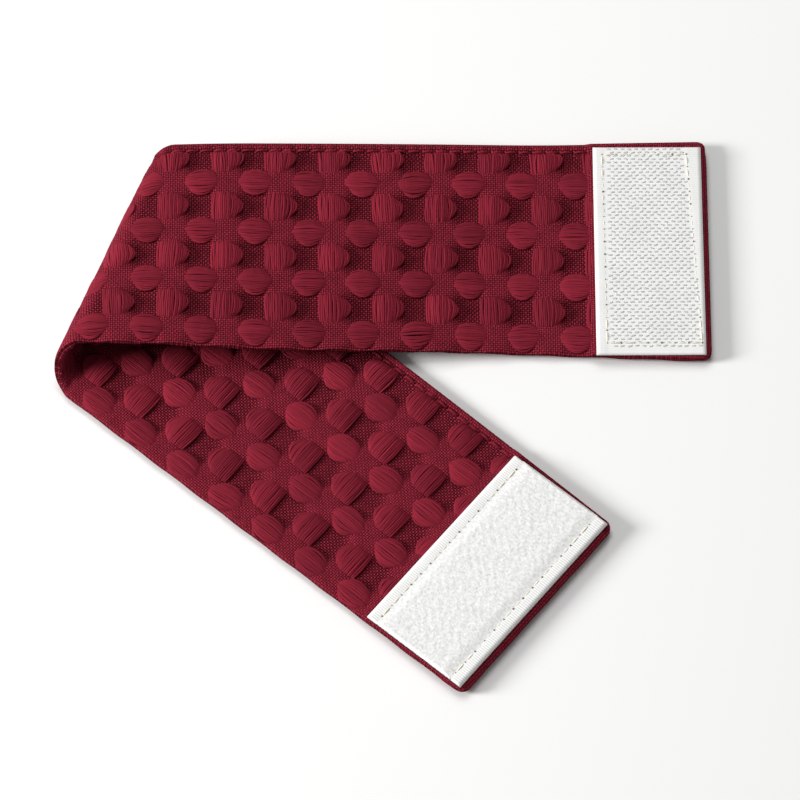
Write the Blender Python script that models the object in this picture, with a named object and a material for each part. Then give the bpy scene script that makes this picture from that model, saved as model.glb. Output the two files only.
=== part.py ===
# Curtain tie-back: a double band of waffle-weave cloth, folded over once and laid down,
# with a patch of hook tape on one end and a patch of loop tape on the other.
# Plan view: +X runs along the upper arm, +Y to its seamed edge ("far" edge), +Z is up,
# and z = 0 is the surface that the tie-back lies on.

import math

import bpy
import bmesh
from mathutils import Vector

for stale in list(bpy.data.objects):
    bpy.data.objects.remove(stale, do_unlink=True)

MM = 0.001

# --- driving dimensions, in millimetres -------------------------------------------------
BAND_THICKNESS = 3.0        # two plies of waffle cloth, pressed
EDGE_RADIUS = 1.4           # roundness of the folded and seamed long edges
END_RADIUS = 1.2            # roundness of the turned-in ends
CORNER_RADIUS = 2.2         # roundness of the four corners in plan
PIECE_GAP = 0.3             # clearance between touching pieces

# The lower arm lies flat. Plan corners of its far and near edges, at its free end and
# where it turns into the roll.
LOWER_END_FAR = (51.8, -29.4)
LOWER_END_NEAR = (17.7, -70.5)
LOWER_FOLD_FAR = (-51.5, 59.0)
LOWER_FOLD_NEAR = (-72.1, 3.9)

# The upper arm leaves the roll above the lower arm and comes down to the surface.
UPPER_FOLD_FAR = (-48.8, 66.1)
UPPER_FOLD_NEAR = (-69.0, 12.0)
UPPER_END_FAR = (74.6, 69.7)
UPPER_END_NEAR = (74.75, 12.8)

# The roll is a half turn about a slanting line, small at the far edge, open at the near one.
ROLL_HEIGHT_FAR = 5.4       # rise of the band's middle surface over the half turn
ROLL_HEIGHT_NEAR = 11.0
ROLL_BULGE_FAR = 2.7        # how far the middle surface swings out beyond the fold line
ROLL_BULGE_NEAR = 3.7
ROLL_ANGLE = math.radians(20.5)     # slant of the fold line from +Y

# The upper arm's flat end, and the slight unevenness of its near edge.
FLAT_END = 29.0             # length of the upper arm that lies flat under the hook patch
RAMP_EASE = 0.2             # share of the slope used to ease in and out
NEAR_EDGE_WAIST = 1.9       # the near edge draws in before the hook patch
NEAR_EDGE_WAIST_AT = 0.66   # share of the arm's length from the roll
NEAR_EDGE_WAIST_SPAN = 0.4
UPPER_FAR_BOW = 0.4         # the long edges are not quite straight
LOWER_FAR_BOW = 0.6

# Hook tape and loop tape, cut a little shorter than the band is wide.
HOOK_WIDTH = 25.0
HOOK_LENGTH = 54.0
HOOK_THICKNESS = 1.2
HOOK_SETBACK = 1.3          # from the band's end to the tape
HOOK_SIDE_STEP = 0.6        # the tape sits a little nearer the near edge
LOOP_WIDTH = 26.8
LOOP_LENGTH = 52.0
LOOP_THICKNESS = 1.6
LOOP_SETBACK = 1.3
LOOP_SIDE_STEP = 0.2

# Mesh density.
LOWER_STATIONS = 26
ROLL_STATIONS = 18
UPPER_STATIONS = 34
FACE_COLUMNS = 14
EDGE_SEGMENTS = 6

HALF = BAND_THICKNESS / 2


def smooth(share):
    share = min(max(share, 0.0), 1.0)
    return share * share * (3.0 - 2.0 * share)


def mix(first, second, share):
    return Vector(first).lerp(Vector(second), share)


def ramp(share):
    """Height left on the slope: 1 at the roll, 0 on the surface, eased at both ends."""
    share = min(max(share, 0.0), 1.0)
    steep = 1.0 / (1.0 - RAMP_EASE)
    if share < RAMP_EASE:
        return 1.0 - steep * share * share / (2.0 * RAMP_EASE)
    if share > 1.0 - RAMP_EASE:
        return steep * (1.0 - share) ** 2 / (2.0 * RAMP_EASE)
    return 1.0 - steep * (share - RAMP_EASE / 2.0)


def lower_arm(share, across):
    """Middle surface of the lower arm; share 0 at its end, 1 at the roll; across 0 far, 1 near."""
    far = mix(LOWER_END_FAR, LOWER_FOLD_FAR, share)
    near = mix(LOWER_END_NEAR, LOWER_FOLD_NEAR, share)
    outward = (far - near).normalized()
    far += outward * LOWER_FAR_BOW * math.sin(math.pi * share)
    spot = far.lerp(near, across)
    return Vector((spot.x, spot.y, HALF))


def upper_arm(share, across):
    """Middle surface of the upper arm; share 0 at the roll, 1 at its end."""
    far = mix(UPPER_FOLD_FAR, UPPER_END_FAR, share)
    near = mix(UPPER_FOLD_NEAR, UPPER_END_NEAR, share)
    far.y += UPPER_FAR_BOW * math.sin(math.pi * share)
    off_waist = abs(share - NEAR_EDGE_WAIST_AT) / NEAR_EDGE_WAIST_SPAN
    near.y += NEAR_EDGE_WAIST * (1.0 - smooth(off_waist))
    spot = far.lerp(near, across)
    arm_length = UPPER_END_FAR[0] - UPPER_FOLD_FAR[0]
    rise = ROLL_HEIGHT_FAR + (ROLL_HEIGHT_NEAR - ROLL_HEIGHT_FAR) * across
    return Vector((spot.x, spot.y, HALF + rise * ramp(share / (1.0 - FLAT_END / arm_length))))


def roll(share, across):
    """Middle surface of the roll; share 0 at the lower arm, 1 at the upper arm."""
    start = mix(LOWER_FOLD_FAR, LOWER_FOLD_NEAR, across)
    stop = mix(UPPER_FOLD_FAR, UPPER_FOLD_NEAR, across)
    spot = start.lerp(stop, share)
    bulge = ROLL_BULGE_FAR + (ROLL_BULGE_NEAR - ROLL_BULGE_FAR) * across
    rise = ROLL_HEIGHT_FAR + (ROLL_HEIGHT_NEAR - ROLL_HEIGHT_FAR) * across
    turn = math.pi * share
    return Vector((spot.x - math.cos(ROLL_ANGLE) * bulge * math.sin(turn),
                   spot.y + math.sin(ROLL_ANGLE) * bulge * math.sin(turn),
                   HALF + rise * (1.0 - math.cos(turn)) / 2.0))


def band_point(run, across):
    """Middle surface of the whole band; run 0..1 lower arm, 1..2 roll, 2..3 upper arm."""
    if run <= 1.0:
        return lower_arm(run, across)
    if run <= 2.0:
        return roll(run - 1.0, across)
    return upper_arm(run - 2.0, across)


def band_frame(run, across):
    """Point, direction towards the far edge and outward normal of the middle surface."""
    step = 0.001
    before = band_point(max(run - step, 0.0), across)
    after = band_point(min(run + step, 3.0), across)
    far = band_point(run, across - step)
    near = band_point(run, across + step)
    along = (after - before).normalized()
    sideways = (far - near).normalized()
    normal = along.cross(sideways).normalized()
    return band_point(run, across), sideways, normal


def new_material(name, colour, roughness):
    material = bpy.data.materials.new(name)
    material.use_nodes = True
    shader = material.node_tree.nodes["Principled BSDF"]
    shader.inputs["Base Color"].default_value = (*colour, 1.0)
    shader.inputs["Roughness"].default_value = roughness
    shader.inputs["Metallic"].default_value = 0.0
    return material


def finish(name, mesh_builder, material):
    bmesh.ops.recalc_face_normals(mesh_builder, faces=mesh_builder.faces)
    mesh = bpy.data.meshes.new(name)
    mesh_builder.to_mesh(mesh)
    mesh_builder.free()
    mesh.materials.append(material)
    mesh.shade_smooth()
    mesh.set_sharp_from_angle(angle=math.radians(40))
    piece = bpy.data.objects.new(name, mesh)
    bpy.context.collection.objects.link(piece)
    return piece


def skin_rings(builder, rings):
    """Join equal rings of vertices into a tube and return its rows of vertices."""
    rows = [[builder.verts.new(spot * MM) for spot in ring] for ring in rings]
    count = len(rows[0])
    for row, following in zip(rows, rows[1:]):
        for index in range(count):
            after = (index + 1) % count
            builder.faces.new((row[index], row[after], following[after], following[index]))
    return rows


# --- the band ---------------------------------------------------------------------------

def band_stations():
    """Run values from the lower end to the upper end, close together at the rounded ends."""
    arm_lower = (Vector(LOWER_FOLD_FAR) - Vector(LOWER_END_FAR)).length
    arm_upper = (Vector(UPPER_FOLD_FAR) - Vector(UPPER_END_FAR)).length
    close_steps = [0.0, 0.12, 0.45, END_RADIUS, CORNER_RADIUS]
    stations = [step / arm_lower for step in close_steps]
    first = stations[-1]
    stations += [first + (1.0 - first) * i / LOWER_STATIONS for i in range(1, LOWER_STATIONS)]
    stations += [1.0 + i / ROLL_STATIONS for i in range(ROLL_STATIONS)]
    last = 1.0 - close_steps[-1] / arm_upper
    stations += [2.0 + last * i / UPPER_STATIONS for i in range(UPPER_STATIONS)]
    stations += [3.0 - step / arm_upper for step in reversed(close_steps)]
    return stations, arm_lower, arm_upper


def rounded(distance, radius):
    """Share of full size at a distance from a rounded end: 0 at the end, 1 past the radius."""
    if distance >= radius:
        return 1.0
    return math.sqrt(max(0.0, 1.0 - (1.0 - distance / radius) ** 2))


def band_ring(run, arm_lower, arm_upper):
    """One closed ring round the band's rounded cross-section."""
    from_end = min(run * arm_lower, (3.0 - run) * arm_upper)
    thickness_share = 0.25 + 0.75 * rounded(from_end, END_RADIUS)
    width = (band_point(run, 0.0) - band_point(run, 1.0)).length
    inset = CORNER_RADIUS * (1.0 - rounded(from_end, CORNER_RADIUS))
    ring = []
    half_flat = width / 2 - inset - EDGE_RADIUS
    offsets = []
    for index in range(FACE_COLUMNS + 1):
        offsets.append((half_flat * (1.0 - 2.0 * index / FACE_COLUMNS), HALF))
    for index in range(1, EDGE_SEGMENTS):
        turn = math.pi * index / EDGE_SEGMENTS
        offsets.append((-half_flat - EDGE_RADIUS * math.sin(turn), HALF * math.cos(turn)))
    for index in range(FACE_COLUMNS + 1):
        offsets.append((half_flat * (2.0 * index / FACE_COLUMNS - 1.0), -HALF))
    for index in range(1, EDGE_SEGMENTS):
        turn = math.pi * index / EDGE_SEGMENTS
        offsets.append((half_flat + EDGE_RADIUS * math.sin(turn), -HALF * math.cos(turn)))
    for sideways, height in offsets:
        across = 0.5 - sideways / width
        spot, _, normal = band_frame(run, across)
        ring.append(spot + normal * height * thickness_share)
    return ring


def build_band(material):
    builder = bmesh.new()
    stations, arm_lower, arm_upper = band_stations()
    rows = skin_rings(builder, [band_ring(run, arm_lower, arm_upper) for run in stations])
    for row in (rows[0], rows[-1]):
        builder.faces.new(row)
    end_faces = [face for face in builder.faces if len(face.verts) > 4]
    bmesh.ops.triangulate(builder, faces=end_faces, ngon_method="EAR_CLIP")
    return finish("strap_band", builder, material)


# --- the tape patches -------------------------------------------------------------------

def build_patch(name, thickness, corners, normal, material):
    """A flat slab of tape on the band, standing off its face by the gap between pieces."""
    builder = bmesh.new()
    lift = normal * (HALF + PIECE_GAP)
    base = [builder.verts.new((corner + lift) * MM) for corner in corners]
    face = builder.faces.new(base)
    raised = bmesh.ops.extrude_face_region(builder, geom=[face])
    top = [item for item in raised["geom"] if isinstance(item, bmesh.types.BMVert)]
    bmesh.ops.translate(builder, verts=top, vec=normal * thickness * MM)
    upright = [edge for edge in builder.edges
               if abs((edge.verts[0].co - edge.verts[1].co).normalized().dot(normal)) > 0.9]
    bmesh.ops.bevel(builder, geom=upright, offset=0.8 * MM, offset_type="OFFSET", segments=3,
                    profile=0.5, affect="EDGES")
    return finish(name, builder, material)


def patch_corners(end_far, end_near, fold_far, setback, side_step, width, length):
    """Corners of a tape laid across the band, set back from the end."""
    far, near = Vector((*end_far, HALF)), Vector((*end_near, HALF))
    across = (near - far).normalized()
    inward = Vector((*fold_far, HALF)) - far
    inward = (inward - across * inward.dot(across)).normalized()
    middle = (far + near) / 2 + inward * setback + across * side_step
    side = across * length / 2
    return [middle - side, middle + side, middle + side + inward * width,
            middle - side + inward * width]


cloth = new_material("waffle_cotton_crimson", (0.27, 0.014, 0.034), 0.85)
hook_tape = new_material("hook_tape_white", (0.87, 0.87, 0.86), 0.45)
loop_tape = new_material("loop_tape_white", (0.88, 0.88, 0.87), 0.8)

build_band(cloth)
build_patch("hook_patch", HOOK_THICKNESS,
            patch_corners(UPPER_END_FAR, UPPER_END_NEAR, UPPER_FOLD_FAR,
                          HOOK_SETBACK, HOOK_SIDE_STEP, HOOK_WIDTH, HOOK_LENGTH),
            Vector((0, 0, 1)), hook_tape)
build_patch("loop_patch", LOOP_THICKNESS,
            patch_corners(LOWER_END_FAR, LOWER_END_NEAR, LOWER_FOLD_FAR,
                          LOOP_SETBACK, LOOP_SIDE_STEP, LOOP_WIDTH, LOOP_LENGTH),
            Vector((0, 0, 1)), loop_tape)
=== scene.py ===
import math

import bmesh
import bpy
import numpy as np
from mathutils import Matrix, Vector


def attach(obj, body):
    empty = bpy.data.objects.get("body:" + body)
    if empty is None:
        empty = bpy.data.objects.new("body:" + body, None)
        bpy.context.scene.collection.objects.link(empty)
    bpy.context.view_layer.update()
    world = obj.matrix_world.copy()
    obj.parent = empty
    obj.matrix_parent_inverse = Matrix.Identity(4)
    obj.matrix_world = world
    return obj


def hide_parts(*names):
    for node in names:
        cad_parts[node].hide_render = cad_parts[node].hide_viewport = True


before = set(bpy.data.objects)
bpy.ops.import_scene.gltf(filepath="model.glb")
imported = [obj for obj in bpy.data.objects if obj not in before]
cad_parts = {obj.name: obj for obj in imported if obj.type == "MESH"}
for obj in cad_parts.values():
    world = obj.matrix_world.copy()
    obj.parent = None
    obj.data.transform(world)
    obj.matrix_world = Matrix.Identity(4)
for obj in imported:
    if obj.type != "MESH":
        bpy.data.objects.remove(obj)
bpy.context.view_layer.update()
scene = bpy.context.scene

# ---------------------------------------------------------------- table, light and camera
# The strap lies folded once on a plain white table, lit by a soft lamp on its left, a wide
# soft panel overhead and dim white walls, as in a small product studio.
MM = 0.001
TABLE_SIDE = 6.0
TABLE_COLOUR, TABLE_SHADE = "F4F4F3", "F1F1F0"
SURROUND_COLOUR = "FFFFFF"
SURROUND_STRENGTH = 0.2
LAMPS = {"side_lamp": (Vector((-1.15, -0.12, 0.53)), 0.36, 20.5),
         "overhead_panel": (Vector((-0.15, 0.65, 1.45)), 1.0, 12.5)}
CAMERA_TARGET = Vector((3.7, 3.7, 0.0)) * MM
CAMERA_HEIGHT_ANGLE = math.radians(63.0)
CAMERA_DISTANCE = 1.3636
CAMERA_LENS = 270.0


def linear(colour):
    """An sRGB hex colour as the linear one that the shaders take."""
    parts = [int(colour[at:at + 2], 16) / 255 for at in (0, 2, 4)]
    return (*(p / 12.92 if p <= 0.04045 else ((p + 0.055) / 1.055) ** 2.4 for p in parts), 1.0)


def add_node(tree, kind, settings=None, links=None):
    """One node with its settings and its incoming links."""
    node = tree.nodes.new(kind)
    for name, value in (settings or {}).items():
        if isinstance(name, int) or name in node.inputs:
            node.inputs[name].default_value = value
        else:
            setattr(node, name, value)
    for name, source in (links or {}).items():
        tree.links.new(source, node.inputs[name])
    return node


def new_material(name):
    """An empty material, its node tree and its surface shader."""
    material = bpy.data.materials.new(name)
    material.use_nodes = True
    return material, material.node_tree, material.node_tree.nodes["Principled BSDF"]


def mottled_material(name, light, dark, scale):
    """A material that wavers between two colours, and its surface shader."""
    material, tree, shader = new_material(name)
    place = add_node(tree, "ShaderNodeTexCoord")
    mottle = add_node(tree, "ShaderNodeTexNoise", {"Scale": scale, "Detail": 2.0},
                      {"Vector": place.outputs["Object"]})
    tint = add_node(tree, "ShaderNodeMix",
                    {"data_type": "RGBA", 6: linear(dark), 7: linear(light)},
                    {0: mottle.outputs["Fac"]})
    tree.links.new(tint.outputs[2], shader.inputs["Base Color"])
    return material, shader


table_mesh = bpy.data.meshes.new("table")
builder = bmesh.new()
bmesh.ops.create_grid(builder, x_segments=4, y_segments=4, size=TABLE_SIDE / 2)
builder.to_mesh(table_mesh)
builder.free()
table = bpy.data.objects.new("table", table_mesh)
scene.collection.objects.link(table)
# Matt white laminate: nearly even, with only a faint clouding.
table_paint, shader = mottled_material("matt_white_laminate", TABLE_COLOUR, TABLE_SHADE, 3.0)
shader.inputs["Roughness"].default_value = 0.9
shader.inputs["Specular IOR Level"].default_value = 0.2
table_mesh.materials.append(table_paint)

surround = bpy.data.worlds.new("white_surround")
surround.use_nodes = True
backlight = surround.node_tree.nodes["Background"]
backlight.inputs["Color"].default_value = linear(SURROUND_COLOUR)
backlight.inputs["Strength"].default_value = SURROUND_STRENGTH
scene.world = surround

for name, (lamp_place, lamp_side, lamp_power) in LAMPS.items():
    lamp_data = bpy.data.lights.new(name, "AREA")
    lamp_data.shape = "SQUARE"
    lamp_data.size = lamp_side
    lamp_data.energy = lamp_power
    lamp = bpy.data.objects.new(name, lamp_data)
    lamp.matrix_world = (Matrix.Translation(lamp_place)
                         @ (-lamp_place).to_track_quat("-Z", "Y").to_matrix().to_4x4())
    scene.collection.objects.link(lamp)

camera_data = bpy.data.cameras.new("camera")
camera_data.lens = CAMERA_LENS
camera_data.sensor_width = 36.0
camera_data.clip_start = 0.05
camera_data.clip_end = 20.0
camera = bpy.data.objects.new("camera", camera_data)
camera_from = Vector((0, -math.cos(CAMERA_HEIGHT_ANGLE), math.sin(CAMERA_HEIGHT_ANGLE)))
camera.matrix_world = (Matrix.Translation(CAMERA_TARGET + camera_from * CAMERA_DISTANCE)
                       @ (-camera_from).to_track_quat("-Z", "Y").to_matrix().to_4x4())
scene.collection.objects.link(camera)
scene.camera = camera
scene.view_settings.view_transform = "Standard"

# ---------------------------------------------------------------- strap: the woven ground
# The strap is a band of crimson cotton waffle cloth, sewn double and turned, 55 mm wide and
# 274 mm long, folded over in a soft roll. This is its plain woven ground: squares that stand
# up where the long loose threads meet, and sink into pits between them.
BAND_WIDTH = 55.0
BAND_LENGTH = 274.0
HALF_THICKNESS = 1.5
LOWER_END_FAR, LOWER_END_NEAR = (51.8, -29.4), (17.7, -70.5)
LOWER_FOLD_FAR, LOWER_FOLD_NEAR = (-51.5, 59.0), (-72.1, 3.9)
UPPER_FOLD_FAR, UPPER_FOLD_NEAR = (-48.8, 66.1), (-69.0, 12.0)
UPPER_END_FAR, UPPER_END_NEAR = (74.6, 69.7), (74.75, 12.8)
LOWER_FAR_BOW, UPPER_FAR_BOW = 0.6, 0.4
ROLL_HEIGHT_FAR, ROLL_HEIGHT_NEAR = 5.4, 11.0
ROLL_BULGE_FAR, ROLL_BULGE_NEAR = 2.7, 3.7
ROLL_ANGLE = math.radians(20.5)
FLAT_END, RAMP_EASE = 29.0, 0.2
NEAR_EDGE_WAIST, NEAR_EDGE_WAIST_AT, NEAR_EDGE_WAIST_SPAN = 1.9, 0.66, 0.4
LOWER_ARM_FAR, LOWER_ARM_NEAR = 136.0, 116.6
UPPER_ARM_FAR, UPPER_ARM_NEAR = 123.3, 144.1
OUTER, INNER = 1, -1
# The weave repeats: where the first float along the band is, and the repeat, each way.
REPEAT = {OUTER: (243.4, 11.05, 12.28, 13.32), INNER: (34.4, 12.2, 12.55, 13.25)}
GROUND_MIDDLE, GROUND_RAISED, GROUND_PIT = 0.6, 0.42, 0.5
# Painted shade in the pits: where the ground lies low, its colour is darkened towards the gap colour.
SUNK_BELOW, SUNK_SPAN, PIT_PAINTED_SHADE = 0.8, 0.55, -0.07
GROUND_UNDER_TAPE = 1.42
EDGE_RADIUS = 1.5
CORNER_RADIUS, CORNER_REACH = 2.2, 8.0
# The two turned layers meet in a groove: how far in each line of the edge is, and its height.
EDGE_LIP = ((0.5, 0.0), (0.14, 0.2), (0.0, 0.48), (0.14, 0.78), (0.5, 0.94), (1.0, 1.0))
GRID_STEP = 0.7
SEAM_IN = 2.0
SEAM_GROOVE, SEAM_HOLE, SEAM_SPREAD = 0.32, 0.42, 0.85
SEAM_GATHER = 0.3
STITCH_PITCH = 3.2
ROLL_CALM, ROLL_GROUND = 0.88, 0.95
ROLL_CRUMPLE = 0.5
BORDER_HEIGHT = 0.85
TAPE_REACH = {OUTER: BAND_LENGTH - 27.5, INNER: 29.5}


def blend_pairs(first, second, share):
    """Points at share of the way from first to second, one for each share."""
    return np.array(first)[None, :] * (1 - share)[:, None] + np.array(second)[None, :] * share[:, None]


def smooth(share):
    share = np.clip(share, 0, 1)
    return share * share * (3 - 2 * share)


def ramp(share):
    """From 1 to 0, straight but for an ease at each end."""
    steep = 1 / (1 - RAMP_EASE)
    share = np.clip(share, 0, 1)
    fall = 1 - steep * (share - RAMP_EASE / 2)
    fall = np.where(share < RAMP_EASE, 1 - steep * share ** 2 / (2 * RAMP_EASE), fall)
    return np.where(share > 1 - RAMP_EASE, steep * (1 - share) ** 2 / (2 * RAMP_EASE), fall)


def band_middle(along, across):
    """Places in the middle of the cloth, from mm along it and mm in from its far edge."""
    side = across / BAND_WIDTH
    lower = LOWER_ARM_FAR + (LOWER_ARM_NEAR - LOWER_ARM_FAR) * side
    upper = UPPER_ARM_FAR + (UPPER_ARM_NEAR - UPPER_ARM_FAR) * side
    to_fold = along / lower
    from_fold = 1 - (BAND_LENGTH - along) / upper
    round_fold = np.clip((along - lower) / (BAND_LENGTH - lower - upper), 0, 1)
    rise = ROLL_HEIGHT_FAR + (ROLL_HEIGHT_NEAR - ROLL_HEIGHT_FAR) * side
    bulge = ROLL_BULGE_FAR + (ROLL_BULGE_NEAR - ROLL_BULGE_FAR) * side
    spots = []
    far = blend_pairs(LOWER_END_FAR, LOWER_FOLD_FAR, to_fold)
    arm = np.array(LOWER_FOLD_FAR) - np.array(LOWER_END_FAR)
    outward = np.array((-arm[1], arm[0])) / np.hypot(*arm)
    outward = outward if outward[1] > 0 else -outward
    far = far + outward * (LOWER_FAR_BOW * np.sin(math.pi * np.clip(to_fold, 0, 1)))[:, None]
    near = blend_pairs(LOWER_END_NEAR, LOWER_FOLD_NEAR, to_fold)
    spots.append((far, near, np.full_like(along, HALF_THICKNESS)))
    far = blend_pairs(LOWER_FOLD_FAR, UPPER_FOLD_FAR, round_fold)
    near = blend_pairs(LOWER_FOLD_NEAR, UPPER_FOLD_NEAR, round_fold)
    turn = math.pi * round_fold
    push = np.stack([-math.cos(ROLL_ANGLE) * bulge * np.sin(turn),
                     math.sin(ROLL_ANGLE) * bulge * np.sin(turn)], axis=1)
    spots.append((far + push, near + push, HALF_THICKNESS + rise * (1 - np.cos(turn)) / 2))
    far = blend_pairs(UPPER_FOLD_FAR, UPPER_END_FAR, from_fold)
    near = blend_pairs(UPPER_FOLD_NEAR, UPPER_END_NEAR, from_fold)
    far[:, 1] += UPPER_FAR_BOW * np.sin(math.pi * np.clip(from_fold, 0, 1))
    near[:, 1] += NEAR_EDGE_WAIST * (
        1 - smooth(np.abs(from_fold - NEAR_EDGE_WAIST_AT) / NEAR_EDGE_WAIST_SPAN))
    arm_length = UPPER_END_FAR[0] - UPPER_FOLD_FAR[0]
    spots.append((far, near,
                  HALF_THICKNESS + rise * ramp(from_fold / (1 - FLAT_END / arm_length))))
    out = np.zeros((len(along), 3))
    where = np.where(along < lower, 0, np.where(along > BAND_LENGTH - upper, 2, 1))
    for number, (far, near, height) in enumerate(spots):
        here = where == number
        out[here, :2] = (far + (near - far) * side[:, None])[here]
        out[here, 2] = height[here]
    return out


def fold(flat):
    """Flat cloth (mm along, mm in from the far edge, mm out of its middle) as it lies folded."""
    along, across, out = flat[:, 0], flat[:, 1], flat[:, 2]
    edge_in = CORNER_RADIUS - np.clip(np.minimum(across, BAND_WIDTH - across), 0, CORNER_RADIUS)
    corner = CORNER_RADIUS - np.sqrt(CORNER_RADIUS ** 2 - edge_in ** 2)
    along = along + corner * (np.clip(1 - along / CORNER_REACH, 0, 1)
                              - np.clip(1 - (BAND_LENGTH - along) / CORNER_REACH, 0, 1))
    along = along + (SEAM_GATHER * np.sin(2 * math.pi * along / STITCH_PITCH)
                     * np.exp(-((across - SEAM_IN - 0.6) / 1.4) ** 2))
    step = 0.05
    middle = band_middle(along, across)
    lengthwise = band_middle(along + step, across) - band_middle(along - step, across)
    crosswise = band_middle(along, across - step) - band_middle(along, across + step)
    normal = np.cross(lengthwise, crosswise)
    normal /= np.linalg.norm(normal, axis=1)[:, None]
    return (middle + normal * out[:, None]) * MM


def rounded(distance, radius):
    return np.sqrt(np.clip(1 - (1 - np.clip(distance / radius, 0, 1)) ** 2, 0, 1))


def edge_shape(along, across):
    """How much of its thickness the band has left near its edges and ends."""
    return (rounded(across, EDGE_RADIUS) * rounded(BAND_WIDTH - across, EDGE_RADIUS)
            * rounded(along, EDGE_RADIUS) * rounded(BAND_LENGTH - along, EDGE_RADIUS))


def seam_pinch(along, across):
    """How far the topstitching pulls the cloth together, deepest at each needle hole."""
    hole = 0.5 + 0.5 * np.cos(2 * math.pi * along / STITCH_PITCH)
    return 1 - (SEAM_GROOVE + SEAM_HOLE * hole) * np.exp(-((across - SEAM_IN) / SEAM_SPREAD) ** 2)


def roll_share(along, across):
    """How far into the stretched outside of the roll a place is, from 0 to 1."""
    side = across / BAND_WIDTH
    lower = LOWER_ARM_FAR + (LOWER_ARM_NEAR - LOWER_ARM_FAR) * side
    upper = UPPER_ARM_FAR + (UPPER_ARM_NEAR - UPPER_ARM_FAR) * side
    middle, reach = (lower + BAND_LENGTH - upper) / 2, (BAND_LENGTH - upper - lower) / 2
    return smooth(1.45 - np.abs(along - middle) / reach)


def ground_height(along, across, side):
    """Height of the woven ground over the cloth's middle."""
    first_along, first_across, repeat_along, repeat_across = REPEAT[side]
    lengthwise = np.cos(2 * math.pi * (along - first_along) / repeat_along)
    crosswise = np.cos(2 * math.pi * (across - first_across) / repeat_across)
    rise = np.clip(0.8 * (crosswise - lengthwise), -1, 1)
    rise = rise * (1.5 - 0.5 * rise * rise)
    height = GROUND_MIDDLE + np.where(rise > 0, GROUND_RAISED, GROUND_PIT) * rise
    rolled = roll_share(along, across)
    height = height + (ROLL_GROUND - height) * ROLL_CALM * rolled
    if side == INNER:
        height = height + (ROLL_CRUMPLE * rolled * np.sin(1.5 * along + 1.9 * np.sin(0.5 * across))
                           * np.sin(0.75 * across + 0.5 * along))
    border = BORDER_HEIGHT + smooth(across / 1.4) * (
        0.16 * np.sin(2 * math.pi * along / STITCH_PITCH - 1.2)
        + 0.12 * np.sin(1.37 * along + 2.1 * np.sin(0.31 * along)))
    height = height + (border - height) * smooth((SEAM_IN + 0.3 - across) / 1.2)
    under = smooth((TAPE_REACH[side] - along) * -side / 1.5 + 0.5)
    return height + (GROUND_UNDER_TAPE - height) * under


def grid_lines(length):
    """Where the lines of the cloth's grid are, and how thick it is there: a lip, then even lines."""
    lip_in, lip_height = (np.array(column) for column in zip(*EDGE_LIP))
    count = round((length - 2 * lip_in[-1]) / GRID_STEP)
    even = np.linspace(lip_in[-1], length - lip_in[-1], count)[1:-1]
    return (np.concatenate([lip_in, even, length - lip_in[::-1]]),
            np.concatenate([lip_height, np.ones(len(even)), lip_height[::-1]]))


def add_piece(name, mesh, material):
    """Put a finished mesh in the scene as a smooth-shaded piece that rides on the strap."""
    mesh.materials.append(material)
    mesh.polygons.foreach_set("use_smooth", np.ones(len(mesh.polygons), dtype=bool))
    piece = bpy.data.objects.new(name, mesh)
    scene.collection.objects.link(piece)
    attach(piece, "root")
    return piece


def read_points(mesh):
    points = np.empty(len(mesh.vertices) * 3)
    mesh.vertices.foreach_get("co", points)
    return points.reshape(-1, 3)


def write_points(mesh, points):
    mesh.vertices.foreach_set("co", points.astype(np.float32).ravel())
    mesh.update()


def mark_points(mesh, name, values):
    """A number for each vertex, which a material can read by its name."""
    layer = mesh.attributes.new(name, "FLOAT", "POINT")
    layer.data.foreach_set("value", values.astype(np.float32))


def map_cloth(mesh, over):
    """A UV map in metres of flat cloth, from two numbers for each vertex."""
    corners = np.empty(len(mesh.loops), dtype=np.int32)
    mesh.loops.foreach_get("vertex_index", corners)
    uv = mesh.uv_layers.new(name="cloth")
    uv.uv.foreach_set("vector", (over[corners] * MM).astype(np.float32).ravel())


# Ring-spun cotton in plain weave, dyed crimson: matt, with a fine check of raised threads and dark
# gaps. Down in the pits more of the dark gap colour is laid on, as painted shade. The real threads
# are 0.45 mm apart and are drawn 0.53 mm apart, to show.
THREAD_PITCH = 0.53
GROUND_LIGHT, GROUND_DARK, GAP_AND_PIT_SHADE = "A83043", "802232", "180608"
ground_cotton, tree, shader = new_material("plain_woven_crimson_cotton")
place = add_node(tree, "ShaderNodeUVMap", {"uv_map": "cloth"})
scaled = add_node(tree, "ShaderNodeMapping",
                  {"Scale": (math.pi / (THREAD_PITCH * MM), math.pi / (THREAD_PITCH * MM), 1.0)},
                  {"Vector": place.outputs["UV"]})
wobble = add_node(tree, "ShaderNodeTexNoise", {"Scale": 0.35, "Detail": 1.0},
                  {"Vector": scaled.outputs["Vector"]})
shifted = add_node(tree, "ShaderNodeVectorMath", {"operation": "MULTIPLY_ADD", 1: (1.6, 1.6, 0.0)},
                   {0: wobble.outputs["Color"], 2: scaled.outputs["Vector"]})
parts = add_node(tree, "ShaderNodeSeparateXYZ", None, {0: shifted.outputs[0]})
warp = add_node(tree, "ShaderNodeMath", {"operation": "SINE"}, {0: parts.outputs["X"]})
weft = add_node(tree, "ShaderNodeMath", {"operation": "SINE"}, {0: parts.outputs["Y"]})
cross = add_node(tree, "ShaderNodeMath", {"operation": "MULTIPLY"},
                 {0: warp.outputs[0], 1: weft.outputs[0]})
check = add_node(tree, "ShaderNodeMath", {"operation": "MULTIPLY_ADD", 1: 0.22, 2: 0.22},
                 {0: cross.outputs[0]})
mound = add_node(tree, "ShaderNodeMath", {"operation": "ABSOLUTE"}, {0: cross.outputs[0]})
thread = add_node(tree, "ShaderNodeMath", {"operation": "MULTIPLY_ADD", 1: 0.5},
                  {0: mound.outputs[0], 2: check.outputs[0]})
uneven = add_node(tree, "ShaderNodeTexNoise", {"Scale": 420.0, "Detail": 3.0},
                  {"Vector": place.outputs["UV"]})
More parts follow.
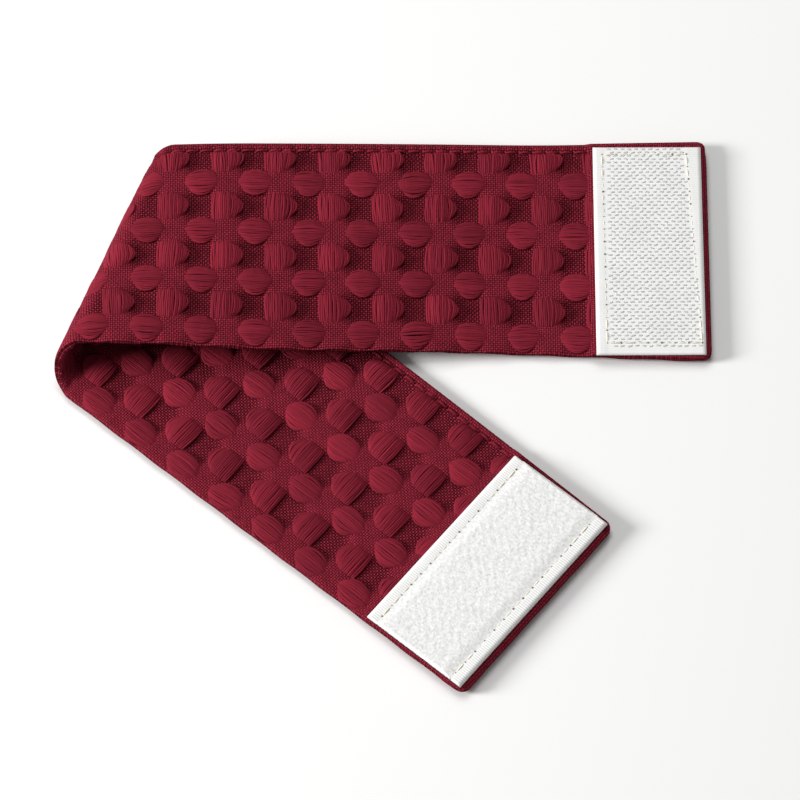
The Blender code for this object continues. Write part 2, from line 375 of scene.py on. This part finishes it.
cloth_tint = add_node(tree, "ShaderNodeMix",
                      {"data_type": "RGBA", 6: linear(GROUND_DARK), 7: linear(GROUND_LIGHT)},
                      {0: uneven.outputs["Fac"]})
# Painted shade: down in the pits more of the dark gap colour is laid on, to darken them as shadow
# would.
sunk = add_node(tree, "ShaderNodeAttribute", {"attribute_name": "sunk"})
pit_shaded_weave = add_node(tree, "ShaderNodeMath", {"operation": "MULTIPLY_ADD", 1: PIT_PAINTED_SHADE},
                  {0: sunk.outputs["Fac"], 2: thread.outputs[0]})
gap_and_pit_shade_share = add_node(tree, "ShaderNodeMapRange",
                     {"From Min": 0.22, "From Max": 0.5, "To Min": 0.0, "To Max": 1.0},
                     {"Value": pit_shaded_weave.outputs[0]})
gap_and_pit_shade_tint = add_node(tree, "ShaderNodeMix", {"data_type": "RGBA", 6: linear(GAP_AND_PIT_SHADE)},
                    {0: gap_and_pit_shade_share.outputs["Result"], 7: cloth_tint.outputs[2]})
tree.links.new(gap_and_pit_shade_tint.outputs[2], shader.inputs["Base Color"])
weave_bump = add_node(tree, "ShaderNodeBump", {"Strength": 0.9, "Distance": 0.22 * MM},
                      {"Height": thread.outputs[0]})
tree.links.new(weave_bump.outputs["Normal"], shader.inputs["Normal"])
shader.inputs["Roughness"].default_value = 0.9
shader.inputs["Specular IOR Level"].default_value = 0.04

builder = bmesh.new()
along_lines, along_edge = grid_lines(BAND_LENGTH)
across_lines, across_edge = grid_lines(BAND_WIDTH)
all_along, all_across = np.meshgrid(along_lines, across_lines, indexing="ij")
for side in (OUTER, INNER):
    heights = (ground_height(all_along, all_across, side) * np.outer(along_edge, across_edge)
               * seam_pinch(all_along, all_across)) * side
    made = bmesh.ops.create_grid(builder, x_segments=len(along_lines) - 1,
                                 y_segments=len(across_lines) - 1, size=0.5)
    for vert in made["verts"]:
        column = round((vert.co.x + 0.5) * (len(along_lines) - 1))
        row = round((vert.co.y + 0.5) * (len(across_lines) - 1))
        vert.co = (along_lines[column], across_lines[row], heights[column, row])
    if side == OUTER:
        faces = list({face for vert in made["verts"] for face in vert.link_faces})
        bmesh.ops.reverse_faces(builder, faces=faces)
bmesh.ops.remove_doubles(builder, verts=builder.verts, dist=1e-4)
band_mesh = bpy.data.meshes.new("strap_cloth")
builder.to_mesh(band_mesh)
builder.free()
flat_points = read_points(band_mesh)
map_cloth(band_mesh, flat_points[:, :2])
# Painted shade: how deep down in a pit each point lies, which darkens its colour there.
pit_shade_share = np.clip((SUNK_BELOW - np.abs(flat_points[:, 2])) / SUNK_SPAN, 0, 1)
pit_shade_share *= edge_shape(flat_points[:, 0], flat_points[:, 1]) > 0.95
mark_points(band_mesh, "sunk", pit_shade_share)
write_points(band_mesh, fold(flat_points))
strap_cloth = add_piece("strap_cloth", band_mesh, ground_cotton)
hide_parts("strap_band")

# ---------------------------------------------------------------- strap: the long loose threads
# Bundles of soft cotton thread float over the ground in turn along and across the band. Each
# bundle is pinched where its threads dive into the cloth and swells between, which makes the
# waffle. They are separate pieces for each face and direction.
TABLE_CREST = 1.5
ACROSS_SHIFT = 0.3
THREAD_STATIONS = 7
THREAD_SIDES = 5
THREAD_FOOT = 0.25
# Bundles keep this far from the band's ends, and their middles lie this far in from its edges.
BUNDLE_END_GAP, BUNDLE_FIRST_IN, BUNDLE_LAST_IN = 5.0, 3.0, 52.5
# By the far edge the threads are tucked in under the topstitched seam.
TUCK_FROM, TUCK_SHARE, TUCK_SPAN, TUCK_DEPTH = 0.35, 0.88, 0.9, 0.8
# The roll pulls them flat, the table presses on two of the band's faces, and a tape on its end.
ROLL_PULL = 0.86
OUTER_ON_TABLE_TO, INNER_ON_TABLE_FROM = 140, 232
UNDER_TAPE_FROM, UNDER_TAPE_RISE = 0.8, 0.05
GRAIN_STEP = 7.3
# Threads in a bundle, its height on each face, half its length and width in mm, how far it
# narrows and how much shorter its outermost threads are on each side, a thread's radius, how
# far the outermost threads lie below the crest, and how far under a tape its middle may be.
BUNDLES = {
    "along": {"threads": 16, "crest": (1.48, 1.65), "half_length": 5.0, "half_width": 3.3,
              "pinch": (0.6, 0.5), "shorter": (0.26, 0.4), "radius": 0.3, "dome": (0.6, 0.6),
              "under_tape": 2.0},
    "across": {"threads": 16, "crest": (1.74, 1.7), "half_length": 4.4, "half_width": 3.4,
               "pinch": (0.94, 0.62), "shorter": (0.16, 0.42), "radius": 0.33, "dome": (0.75, 0.3),
               "under_tape": 4.0},
}


def tiled_mesh(name, unit, points_of_copies):
    """One mesh of many copies of a unit, from each copy's own vertex places."""
    copies, corners = points_of_copies.shape[0], points_of_copies.shape[1]
    loops = np.array([vert.index for face in unit.faces for vert in face.verts])
    starts = np.cumsum([0] + [len(face.verts) for face in unit.faces])[:-1]
    shift = np.arange(copies)[:, None]
    mesh = bpy.data.meshes.new(name)
    mesh.vertices.add(copies * corners)
    mesh.loops.add(copies * len(loops))
    mesh.polygons.add(copies * len(starts))
    mesh.loops.foreach_set("vertex_index", (loops[None, :] + shift * corners).ravel().astype(np.int32))
    all_starts = (starts[None, :] + shift * len(loops)).ravel()
    mesh.polygons.foreach_set("loop_start", all_starts.astype(np.int32))
    mesh.vertices.foreach_set("co", points_of_copies.astype(np.float32).ravel())
    mesh.update(calc_edges=True)
    return mesh


def thread_unit(sides, stations):
    """A closed tube from -1 to 1 along X, of radius 1."""
    unit = bmesh.new()
    bmesh.ops.create_cone(unit, cap_ends=True, segments=sides, radius1=1, radius2=1, depth=2,
                          matrix=Matrix.Rotation(math.pi / 2, 4, "Y"))
    long_edges = [edge for edge in unit.edges
                  if abs(edge.verts[0].co.x - edge.verts[1].co.x) > 1]
    bmesh.ops.subdivide_edges(unit, edges=long_edges, cuts=stations - 1)
    unit.verts.ensure_lookup_table()
    unit.verts.index_update()
    return unit


def unit_points(unit):
    return np.array([vert.co[:] for vert in unit.verts])


# Loose-spun cotton: smoother than the ground and matt, with fine fibres along each thread, and
# each thread a little lighter or darker than the next.
FLOAT_LIGHT, FLOAT_DARK = "8B2636", "691C29"
float_cotton, tree, shader = new_material("loose_spun_crimson_cotton")
place = add_node(tree, "ShaderNodeUVMap", {"uv_map": "cloth"})
streaks = add_node(tree, "ShaderNodeMapping", {"Scale": (500.0, 5200.0, 1.0)},
                   {"Vector": place.outputs["UV"]})
fibres = add_node(tree, "ShaderNodeTexNoise", {"Scale": 1.0, "Detail": 3.0, "Roughness": 0.6},
                  {"Vector": streaks.outputs["Vector"]})
tone = add_node(tree, "ShaderNodeAttribute", {"attribute_name": "tone"})
mixed = add_node(tree, "ShaderNodeMath", {"operation": "MULTIPLY_ADD", 1: 0.6},
                 {0: tone.outputs["Fac"], 2: fibres.outputs["Fac"]})
spread = add_node(tree, "ShaderNodeMapRange", {"From Min": 0.35, "From Max": 1.15},
                  {"Value": mixed.outputs[0]})
thread_tint = add_node(tree, "ShaderNodeMix",
                       {"data_type": "RGBA", 6: linear(FLOAT_DARK), 7: linear(FLOAT_LIGHT)},
                       {0: spread.outputs["Result"]})
tree.links.new(thread_tint.outputs[2], shader.inputs["Base Color"])
fibre_bump = add_node(tree, "ShaderNodeBump", {"Strength": 0.5, "Distance": 0.06 * MM},
                      {"Height": fibres.outputs["Fac"]})
tree.links.new(fibre_bump.outputs["Normal"], shader.inputs["Normal"])
shader.inputs["Roughness"].default_value = 0.8
shader.inputs["Specular IOR Level"].default_value = 0.03

unit = thread_unit(THREAD_SIDES, THREAD_STATIONS)
shape = unit_points(unit)
random = np.random.default_rng(20)
for side, side_name in ((OUTER, "outer"), (INNER, "inner")):
    first_along, first_across, repeat_along, repeat_across = REPEAT[side]
    for way, bundle in BUNDLES.items():
        offset = 0.0 if way == "along" else 0.5
        spots = []
        for column in range(-25, 26):
            for row in range(-5, 6):
                at_along = first_along + (column + offset) * repeat_along
                at_across = first_across + (row + offset) * repeat_across
                hidden = (at_along - TAPE_REACH[side]) * side > bundle["under_tape"]
                lengthwise_in = BUNDLE_END_GAP < at_along < BAND_LENGTH - BUNDLE_END_GAP
                crosswise_in = BUNDLE_FIRST_IN < at_across < BUNDLE_LAST_IN
                if lengthwise_in and crosswise_in and not hidden:
                    spots.append((at_along, at_across))
        spots = np.array(spots)
        count, threads = len(spots), bundle["threads"]
        skew = random.normal(0, 0.12, count)
        swell = random.uniform(0.9, 1.05, count)
        parting = random.integers(2, threads - 2, count)
        parting_width = random.uniform(0.0, 0.22, count)
        stray = random.uniform(0, 2 * math.pi, (count, threads))
        bundle_tone = random.uniform(0.2, 0.8, count)
        order = np.linspace(-1, 1, threads)
        across_bundle = order[None, :] + random.normal(0, 0.014, (count, threads))
        parted = np.where(np.arange(threads)[None, :] < parting[:, None], -0.5, 0.5)
        parted = parted * parting_width[:, None]
        shorter = np.where(order > 0, bundle["shorter"][1], bundle["shorter"][0])
        length = bundle["half_length"] * (1 - shorter * np.abs(order) ** 1.7)[None, :]
        length = length + random.normal(0, 0.1, (count, threads))
        dome = (np.where(order > 0, bundle["dome"][1], bundle["dome"][0])
                * np.abs(order) ** 2.2)[None, :]
        top = bundle["crest"][0 if side == OUTER else 1] - bundle["radius"]
        crest = (top - dome) * swell[:, None]
        crest = crest + random.normal(0, 0.025, (count, threads))
        tones = np.clip(bundle_tone[:, None] + random.normal(0, 0.2, (count, threads)), 0, 1)
        run = np.sin(math.pi / 2 * shape[None, None, :, 0])
        arch = 1 - 0.22 * run ** 2 - 0.78 * np.abs(run) ** 6
        pinch = np.where(across_bundle > 0, bundle["pinch"][1], bundle["pinch"][0])[:, :, None]
        sway = (across_bundle[:, :, None] * (pinch + (1 - pinch) * (1 - run ** 2))
                * bundle["half_width"] + parted[:, :, None] * (1 - run ** 2)
                + skew[:, None, None] * run
                + 0.09 * np.sin(run * 2.3 + stray[:, :, None]) * (1 - run ** 2))
        height = THREAD_FOOT + (crest[:, :, None] - THREAD_FOOT) * arch
        girth = bundle["radius"] * (1 - 0.15 * run ** 2)
        mirrored = (side == OUTER) != (way == "across")
        sway = sway + girth * shape[None, None, :, 1] * (-1 if mirrored else 1)
        height = height + girth * shape[None, None, :, 2]
        lengthwise = np.broadcast_to(length[:, :, None] * run, sway.shape)
        centre_along, centre_across = spots[:, 0, None, None], spots[:, 1, None, None]
        if way == "across":
            sway = sway - ACROSS_SHIFT
        if way == "along":
            flat = np.stack([centre_along + lengthwise, centre_across + sway, height], axis=-1)
        else:
            flat = np.stack([centre_along + sway, centre_across + lengthwise, height], axis=-1)
        flat = flat.reshape(-1, 3)
        past_seam = np.clip(SEAM_IN + TUCK_FROM - flat[:, 1], 0, None)
        flat[:, 1] = np.clip(flat[:, 1] + TUCK_SHARE * past_seam, 0.3, BAND_WIDTH - 0.25)
        flat[:, 2] *= 1 - smooth(past_seam / TUCK_SPAN) * TUCK_DEPTH
        flat[:, 2] *= edge_shape(flat[:, 0], flat[:, 1]) * seam_pinch(flat[:, 0], flat[:, 1])
        calm = roll_share(flat[:, 0], flat[:, 1]) * (flat[:, 2] > ROLL_GROUND) * ROLL_PULL
        flat[:, 2] += (ROLL_GROUND - flat[:, 2]) * calm
        if side == OUTER:
            pressed = flat[:, 0] < OUTER_ON_TABLE_TO
        else:
            pressed = flat[:, 0] > INNER_ON_TABLE_FROM
        flat[pressed, 2] = np.minimum(flat[pressed, 2], TABLE_CREST)
        covered = (flat[:, 0] - TAPE_REACH[side]) * side > UNDER_TAPE_FROM
        flat[covered, 2] = np.minimum(flat[covered, 2], GROUND_UNDER_TAPE + UNDER_TAPE_RISE)
        flat[:, 2] *= side
        grain = GRAIN_STEP * np.repeat(np.arange(count), threads * len(shape))
        over = np.stack([(centre_along + centre_across + lengthwise).reshape(-1),
                         sway.reshape(-1) + grain], axis=1)
        name = f"floats_{way}_{side_name}"
        mesh = tiled_mesh(name, unit, fold(flat).reshape(count * threads, len(shape), 3))
        map_cloth(mesh, over)
        mark_points(mesh, "tone", np.repeat(tones.ravel(), len(shape)))
        add_piece(name, mesh, float_cotton)
unit.free()

# ---------------------------------------------------------------- strap: the topstitching
# A line of lockstitch 2 mm in from the far edge holds the band's turned seam flat. It is
# crimson cotton thread, 3.2 mm to the stitch, sunk in the groove that it pulls.
TOPSTITCH_RADIUS = 0.24
TOPSTITCH_HALF_LENGTH = 1.45
TOPSTITCH_CREST, TOPSTITCH_DIP = 0.62, 0.42
TOPSTITCH_TONE = 0.35
unit = thread_unit(6, 6)
shape = unit_points(unit)
stitch_points = []
for side in (OUTER, INNER):
    middles = np.arange(0.5, BAND_LENGTH / STITCH_PITCH - 0.5) * STITCH_PITCH
    middles = middles[(middles - TAPE_REACH[side]) * side < 0]
    run = shape[None, :, 0]
    flat_along = middles[:, None] + TOPSTITCH_HALF_LENGTH * run
    sway = TOPSTITCH_RADIUS * shape[None, :, 1] * (-1 if side == OUTER else 1)
    flat_across = np.broadcast_to(SEAM_IN + sway, flat_along.shape)
    height = TOPSTITCH_CREST - TOPSTITCH_DIP * run ** 2 + TOPSTITCH_RADIUS * shape[None, :, 2]
    height = np.broadcast_to(height, flat_along.shape) * side
    stitch_points.append(np.stack([flat_along, flat_across, height], axis=-1))
flat = np.concatenate(stitch_points)
mesh = tiled_mesh("topstitching", unit, fold(flat.reshape(-1, 3)).reshape(flat.shape))
map_cloth(mesh, flat.reshape(-1, 3)[:, :2])
mark_points(mesh, "tone", np.full(len(mesh.vertices), TOPSTITCH_TONE))
topstitching = add_piece("topstitching", mesh, float_cotton)
unit.free()

# ---------------------------------------------------------------- hook tape
# A 25 mm wide woven nylon tape is sewn across the band's upper end. Its middle stands thick
# with small stiff hooks in staggered rows, and a plain ribbed selvage is left at each side.
TAPE_FOOT = 3.02
HOOK_WIDTH, HOOK_LENGTH = 25.0, 54.0
HOOK_SETBACK, HOOK_SIDE_STEP = 1.3, 0.6
HOOK_BASE = 0.7
HOOK_PITCH_ACROSS, HOOK_PITCH_DOWN = 1.62, 0.87
HOOK_SPAN, HOOK_HEIGHT, HOOK_BREADTH = 0.46, 0.09, 0.68
RIB_PITCH, RIB_HEIGHT = 0.56, 0.04
TAPE_STEP, TAPE_COLUMN_STEP = 0.14, 0.5
TAPE_SIDE_EASE, TAPE_END_EASE = 0.5, 0.3
TAPE_EDGE_LEFT = 0.55
HOOK_INNER_SELVAGE = 2.3
HOOK_SELVAGE_LEAST, HOOK_SELVAGE_SLANT, HOOK_SELVAGE_CURVE = 0.5, 3.2, 1.15
HOOK_SELVAGE_EASE, HOOK_FIELD_SUNK = 0.6, 0.06
HOOK_FIRST_IN, HOOK_FIRST_DOWN, HOOK_FIELD_GAP = 0.4, 0.6, 0.5
HOOK_THREAD_RADIUS, HOOK_TURN = 0.34, math.radians(205)
HOOK_ROOTED = 0.1


def tape_place(end_far, end_near, fold_far, setback, side_step, length):
    """Where a tape's own corner is, and which way its width and length run."""
    far, near = np.array(end_far), np.array(end_near)
    across = (near - far) / np.linalg.norm(near - far)
    inward = np.array(fold_far) - far
    inward = inward - across * inward.dot(across)
    inward /= np.linalg.norm(inward)
    corner = (far + near) / 2 + inward * setback + across * (side_step - length / 2)
    return corner, inward, across


def lay_tape(points, place):
    """Tape places (mm in from the end, mm down the tape, mm up) as they lie on the band."""
    corner, inward, across = place
    out = np.empty_like(points)
    out[:, :2] = (corner[None, :] + points[:, 0, None] * inward[None, :]
                  + points[:, 1, None] * across[None, :])
    out[:, 2] = TAPE_FOOT + points[:, 2]
    return out * MM


def tape_slab(name, width, length, thickness, top_height, place, column_step):
    """A thin closed slab whose top follows top_height(in, down)."""
    builder = bmesh.new()
    columns, rows = round(width / column_step), round(length / TAPE_STEP)
    made = bmesh.ops.create_grid(builder, x_segments=columns, y_segments=rows, size=0.5)
    for vert in made["verts"]:
        vert.co = ((vert.co.x + 0.5) * width, (vert.co.y + 0.5) * length, thickness)
    top = set(made["verts"])
    raised = bmesh.ops.extrude_face_region(builder, geom=list(builder.faces))
    for item in raised["geom"]:
        if isinstance(item, bmesh.types.BMVert):
            item.co.z = 0.0
            top.discard(item)
    bmesh.ops.recalc_face_normals(builder, faces=builder.faces)
    mesh = bpy.data.meshes.new(name)
    builder.to_mesh(mesh)
    builder.free()
    flat = read_points(mesh)
    upper = flat[:, 2] > thickness / 2
    flat[upper, 2] = top_height(flat[upper, 0], flat[upper, 1])
    map_cloth(mesh, flat[:, :2])
    write_points(mesh, lay_tape(flat, place))
    return mesh


def ribs(down):
    return RIB_HEIGHT * np.cos(2 * math.pi * down / RIB_PITCH)


def edge_left(into, down, width, length):
    """How much of its thickness a tape has left near its cut and woven edges."""
    near_edge = np.minimum(np.minimum(into, width - into) / TAPE_SIDE_EASE,
                           np.minimum(down, length - down) / TAPE_END_EASE)
    return TAPE_EDGE_LEFT + (1 - TAPE_EDGE_LEFT) * rounded(near_edge, 1.0)


def hook_outer_selvage(down):
    """The selvage by the band's end, widest at the far edge, since the tape is sewn aslant."""
    slant = (1 - down / HOOK_LENGTH) ** HOOK_SELVAGE_CURVE
    return HOOK_SELVAGE_LEAST + HOOK_SELVAGE_SLANT * slant


def hook_tape_top(into, down):
    field_end = HOOK_WIDTH - HOOK_INNER_SELVAGE
    selvage = np.maximum(smooth((hook_outer_selvage(down) - into) / HOOK_SELVAGE_EASE + 0.5),
                         smooth((into - field_end) / HOOK_SELVAGE_EASE + 0.5))
    height = HOOK_BASE + selvage * ribs(down) - HOOK_FIELD_SUNK * (1 - selvage)
    return height * edge_left(into, down, HOOK_WIDTH, HOOK_LENGTH)


# White woven nylon tape: clean and a little glossy, with a rib across it every 0.56 mm.
NYLON_WHITE, NYLON_SHADE = "F0F0EF", "DCDCD9"
tape_nylon, tree, shader = new_material("white_woven_nylon_tape")
place = add_node(tree, "ShaderNodeUVMap", {"uv_map": "cloth"})
ribbed = add_node(tree, "ShaderNodeMapping", {"Scale": (2 * math.pi / (RIB_PITCH * MM),) * 3},
                  {"Vector": place.outputs["UV"]})
parts = add_node(tree, "ShaderNodeSeparateXYZ", None, {0: ribbed.outputs["Vector"]})
ridge = add_node(tree, "ShaderNodeMath", {"operation": "SINE"}, {0: parts.outputs["Y"]})
soil = add_node(tree, "ShaderNodeTexNoise", {"Scale": 160.0, "Detail": 4.0},
                {"Vector": place.outputs["UV"]})
tape_mix = add_node(tree, "ShaderNodeMath", {"operation": "MULTIPLY_ADD", 1: 0.25},
                    {0: ridge.outputs[0], 2: soil.outputs["Fac"]})
tape_tint = add_node(tree, "ShaderNodeMix",
                     {"data_type": "RGBA", 6: linear(NYLON_SHADE), 7: linear(NYLON_WHITE)},
                     {0: tape_mix.outputs[0]})
tree.links.new(tape_tint.outputs[2], shader.inputs["Base Color"])
tape_bump = add_node(tree, "ShaderNodeBump", {"Strength": 0.2, "Distance": 0.05 * MM},
                     {"Height": ridge.outputs[0]})
tree.links.new(tape_bump.outputs["Normal"], shader.inputs["Normal"])
shader.inputs["Roughness"].default_value = 0.5
shader.inputs["IOR"].default_value = 1.53

hook_place = tape_place(UPPER_END_FAR, UPPER_END_NEAR, UPPER_FOLD_FAR, HOOK_SETBACK,
                        HOOK_SIDE_STEP, HOOK_LENGTH)
mesh = tape_slab("hook_tape", HOOK_WIDTH, HOOK_LENGTH, HOOK_BASE, hook_tape_top, hook_place,
                 TAPE_COLUMN_STEP)
hook_tape = add_piece("hook_tape", mesh, tape_nylon)
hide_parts("hook_patch")

# Each hook is a stiff nylon thread that rises from the tape, turns over and is cut off short.
unit = bmesh.new()
made = bmesh.ops.create_circle(unit, cap_ends=True, segments=5, radius=HOOK_THREAD_RADIUS,
                               matrix=Matrix.Translation((-1, 0, 0)))
bmesh.ops.spin(unit, geom=unit.faces[:] + unit.edges[:] + unit.verts[:], cent=(0, 0, 0),
               axis=(0, 1, 0), dvec=(0, 0, 0), angle=HOOK_TURN, steps=8, use_duplicate=False)
unit.verts.index_update()
bmesh.ops.recalc_face_normals(unit, faces=unit.faces)
shape = unit_points(unit)
random = np.random.default_rng(7)
spots = []
for row in range(int((HOOK_LENGTH - 1.0) / HOOK_PITCH_DOWN)):
    down = HOOK_FIRST_DOWN + row * HOOK_PITCH_DOWN
    field_start = hook_outer_selvage(down) + HOOK_FIELD_GAP
    field_end = HOOK_WIDTH - HOOK_INNER_SELVAGE - HOOK_FIELD_GAP
    for column in range(20):
        into = (column + 0.5 * (row % 2)) * HOOK_PITCH_ACROSS + HOOK_FIRST_IN
        if field_start < into < field_end:
            spots.append((into, down))
spots = np.array(spots) + random.normal(0, 0.05, (len(spots), 2))
turn = random.normal(0, 0.16, len(spots))[:, None]
size = random.uniform(0.9, 1.08, len(spots))[:, None]
along_hook = shape[None, :, 0] * HOOK_SPAN * size
beside_hook = shape[None, :, 1] * HOOK_BREADTH * size
flat = np.stack([spots[:, 0, None] + along_hook * np.cos(turn) - beside_hook * np.sin(turn),
                 spots[:, 1, None] + along_hook * np.sin(turn) + beside_hook * np.cos(turn),
                 HOOK_BASE - HOOK_ROOTED + shape[None, :, 2] * HOOK_HEIGHT * size], axis=-1)
mesh = tiled_mesh("hooks", unit, lay_tape(flat.reshape(-1, 3), hook_place).reshape(flat.shape))
unit.free()
# Clear nylon monofilament: whiter and softer-edged than the tape, as light passes into it.
HOOK_WHITE, HOOK_SHADE = "FDFDFC", "F4F4F3"
hook_nylon, shader = mottled_material("nylon_monofilament_hooks", HOOK_WHITE, HOOK_SHADE, 350.0)
shader.inputs["Roughness"].default_value = 0.55
shader.inputs["IOR"].default_value = 1.53
shader.inputs["Subsurface Weight"].default_value = 0.7
shader.inputs["Subsurface Radius"].default_value = (1.0, 1.0, 1.0)
shader.inputs["Subsurface Scale"].default_value = 0.8 * MM
hooks = add_piece("hooks", mesh, hook_nylon)

# ---------------------------------------------------------------- loop tape
# The matching loop tape is 26.8 mm wide and sewn across the lower end. Fine nylon loops are
# brushed up into a soft nap over its middle, between two ribbed selvages.
LOOP_WIDTH, LOOP_LENGTH = 26.8, 52.0
LOOP_SETBACK, LOOP_SIDE_STEP = 1.3, 0.2
LOOP_BASE = 0.95
LOOP_SELVAGE, LOOP_INNER_SELVAGE = 2.7, 2.5
LOOP_SELVAGE_EASE, LOOP_FIELD_SUNK = 0.8, 0.1
NAP_HEIGHT = 0.22


def loop_tape_top(into, down):
    field_end = LOOP_WIDTH - LOOP_INNER_SELVAGE
    selvage = np.maximum(smooth((LOOP_SELVAGE - into) / LOOP_SELVAGE_EASE + 0.5),
                         smooth((into - field_end) / LOOP_SELVAGE_EASE + 0.5))
    height = LOOP_BASE + selvage * ribs(down) - LOOP_FIELD_SUNK * (1 - selvage)
    return height * edge_left(into, down, LOOP_WIDTH, LOOP_LENGTH)


loop_place = tape_place(LOWER_END_FAR, LOWER_END_NEAR, LOWER_FOLD_FAR, LOOP_SETBACK,
                        LOOP_SIDE_STEP, LOOP_LENGTH)
mesh = tape_slab("loop_tape", LOOP_WIDTH, LOOP_LENGTH, LOOP_BASE, loop_tape_top, loop_place,
                 TAPE_COLUMN_STEP)
loop_tape = add_piece("loop_tape", mesh, tape_nylon)
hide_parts("loop_patch")

# The nap is a soft felted pad of brushed loops, uneven by a few hundredths of a millimetre.
NAP_WIDTH = LOOP_WIDTH - LOOP_SELVAGE - LOOP_INNER_SELVAGE
NAP_STEP = 0.2
NAP_SLOPE, NAP_END_SLOPE, NAP_SUNK = 2.8, 0.6, 0.08
NAP_WHITE, NAP_SHADE = "F2F2F1", "D0D0CE"


def nap_top(into, down):
    fuzz = np.random.default_rng(11).normal(0, 0.02, len(into))
    swell = 0.025 * np.sin(into * 1.9 + 2 * np.sin(down * 0.7)) * np.sin(down * 1.7 + into * 0.6)
    edge = np.minimum(np.minimum(into, NAP_WIDTH - into) / NAP_SLOPE,
                      np.minimum(down, LOOP_LENGTH - down) / NAP_END_SLOPE)
    return LOOP_BASE - NAP_SUNK + (NAP_HEIGHT + NAP_SUNK + swell + fuzz) * smooth(edge)


corner, inward, across = loop_place
nap_place = (corner + inward * LOOP_SELVAGE, inward, across)
mesh = tape_slab("nap", NAP_WIDTH, LOOP_LENGTH, LOOP_BASE, nap_top, nap_place, NAP_STEP)
# Brushed nylon loops, too fine to draw one by one: a bright felt with a faint mottle.
nap_nylon, tree, shader = new_material("brushed_nylon_loop_nap")
place = add_node(tree, "ShaderNodeTexCoord")
mottle = add_node(tree, "ShaderNodeTexNoise", {"Scale": 1500.0, "Detail": 4.0, "Roughness": 0.7},
                  {"Vector": place.outputs["Object"]})
mottle_share = add_node(tree, "ShaderNodeMapRange", {"From Min": 0.3, "From Max": 0.62},
                        {"Value": mottle.outputs["Fac"]})
nap_tint = add_node(tree, "ShaderNodeMix",
                    {"data_type": "RGBA", 6: linear(NAP_SHADE), 7: linear(NAP_WHITE)},
                    {0: mottle_share.outputs["Result"]})
tree.links.new(nap_tint.outputs[2], shader.inputs["Base Color"])
nap_bump = add_node(tree, "ShaderNodeBump", {"Strength": 0.35, "Distance": 0.12 * MM},
                    {"Height": mottle.outputs["Fac"]})
tree.links.new(nap_bump.outputs["Normal"], shader.inputs["Normal"])
shader.inputs["Roughness"].default_value = 0.95
shader.inputs["Specular IOR Level"].default_value = 0.1
nap = add_piece("nap", mesh, nap_nylon)

# ---------------------------------------------------------------- the tapes' stitching
# Each tape is held by a box of lockstitch in cream cotton thread, 3.3 mm to the stitch, which
# sinks into the tape between the needle holes.
BOX_PITCH = 3.3
BOX_RADIUS = 0.17
BOX_SUNK, BOX_SUNK_OVER = 0.19, 2.5
BOX_STITCH_GAP, BOX_STITCH_DIP = 0.25, 0.28
# The four corners of each box, in mm in from the end and down the tape, and its threads' height.
HOOK_BOX = ((3.4, 2.0), (22.9, 2.0), (22.5, 51.2), (0.9, 51.2))
LOOP_BOX = ((2.9, 2.9), (24.2, 2.7), (24.2, 50.0), (2.8, 50.2))
HOOK_BOX_TOP, LOOP_BOX_TOP = 0.72, 0.95
HOLE_RADIUS, HOLE_FLATNESS, HOLE_RISE = 0.24, 0.35, 0.06
unit = thread_unit(6, 6)
shape = unit_points(unit)
random = np.random.default_rng(3)
stitch_points = []
hole_spots = []
for corners, tape, top in ((HOOK_BOX, hook_place, HOOK_BOX_TOP),
                           (LOOP_BOX, loop_place, LOOP_BOX_TOP)):
    for number in range(4):
        start, end = np.array(corners[number]), np.array(corners[(number + 1) % 4])
        length = np.linalg.norm(end - start)
        direction = (end - start) / length
        count = round(length / BOX_PITCH)
        pitch = length / count
        for stitch in range(count):
            middle = start + direction * pitch * (stitch + 0.5)
            from_corner = min(stitch, count - 1 - stitch)
            sunk = BOX_SUNK * smooth(from_corner / BOX_SUNK_OVER) * random.uniform(0.5, 1.0)
            run = shape[:, 0] * (pitch / 2 - BOX_STITCH_GAP)
            beside = shape[:, 1] * BOX_RADIUS
            arch = top - sunk - BOX_STITCH_DIP * shape[:, 0] ** 2
            points = np.stack([middle[0] + run * direction[0] + beside * direction[1],
                               middle[1] + run * direction[1] - beside * direction[0],
                               arch + shape[:, 2] * BOX_RADIUS], axis=-1)
            stitch_points.append(lay_tape(points, tape))
            hole = start + direction * pitch * stitch
            hole_spots.append(lay_tape(np.array([[hole[0], hole[1], top + HOLE_RISE]]), tape)[0])
mesh = tiled_mesh("tape_stitching", unit, np.array(stitch_points))
unit.free()
# Cream cotton sewing thread: matt, with a faint twist.
CREAM_LIGHT, CREAM_DARK = "F0E9D5", "DDD3B6"
cream_cotton, shader = mottled_material("cream_cotton_sewing_thread", CREAM_LIGHT, CREAM_DARK,
                                        900.0)
shader.inputs["Roughness"].default_value = 0.8
tape_stitching = add_piece("tape_stitching", mesh, cream_cotton)

# At each stitch the needle left a small round hole. Its shade is painted on a small dark flattened
# disc that sits just on the tape.
unit = bmesh.new()
bmesh.ops.create_icosphere(unit, subdivisions=1, radius=HOLE_RADIUS)
bmesh.ops.scale(unit, vec=(1, 1, HOLE_FLATNESS), verts=unit.verts)
unit.verts.index_update()
shape = unit_points(unit)
random = np.random.default_rng(5)
hole_size = random.uniform(0.45, 1.1, len(hole_spots))[:, None, None]
holes = np.array(hole_spots)[:, None, :] + shape[None, :, :] * MM * hole_size
mesh = tiled_mesh("needle_hole_shade", unit, holes)
unit.free()
# Painted shade down in the needle holes, with worn thread fibres: dull grey-brown.
HOLE_LIGHT, HOLE_DARK = "9A8C78", "5A4C3E"
hole_shade, shader = mottled_material("shaded_needle_hole", HOLE_LIGHT, HOLE_DARK, 1500.0)
shader.inputs["Roughness"].default_value = 0.95
shader.inputs["Specular IOR Level"].default_value = 0.05
needle_hole_shade = add_piece("needle_hole_shade", mesh, hole_shade)
